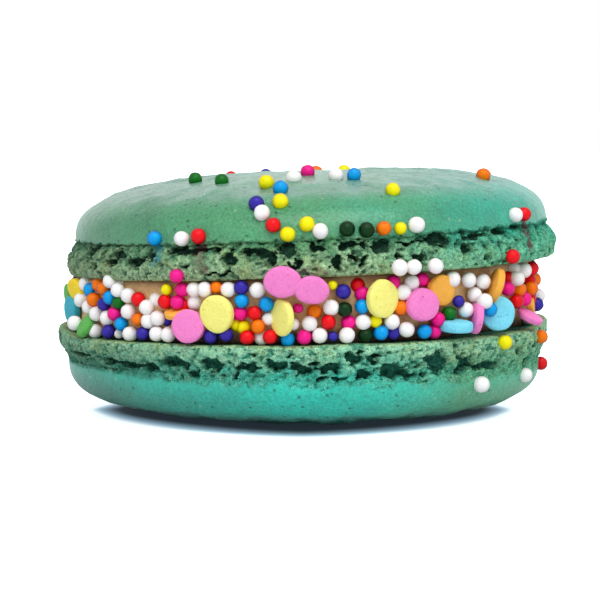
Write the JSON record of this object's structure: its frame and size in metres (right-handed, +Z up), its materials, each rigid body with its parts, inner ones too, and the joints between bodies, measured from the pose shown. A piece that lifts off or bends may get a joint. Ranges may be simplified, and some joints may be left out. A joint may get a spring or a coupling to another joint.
{
  "type": "sprinkle macaron",
  "caption": "Round sandwich biscuit: two smooth green meringue shells with craggy feet round a buttercream disc rolled in sugar pearls and confetti.",
  "frame": {"origin": "centre of the small flat spot of the lower dome on which the macaron rests, on the axis of the lower shell", "axes": "+Z up along the axis of the lower shell, from the lower shell to the upper one; -Y towards the viewer of the shown side, +X to that viewer's right"},
  "size_m": [0.0513, 0.0513, 0.0251],
  "materials": {
    "lower_crust": "baked meringue, teal green, satin dome and open craggy foot",
    "sprinkled_cream": "pale buttercream under satin sugar pearls and chalky sugar confetti in many colours",
    "upper_crust": "baked meringue, green, satin dome and open craggy foot"
  },
  "bodies": {
    "root": {"lower_shell": "lower_crust", "filling": "sprinkled_cream", "upper_shell": "upper_crust"}
  },
  "joints": []
}
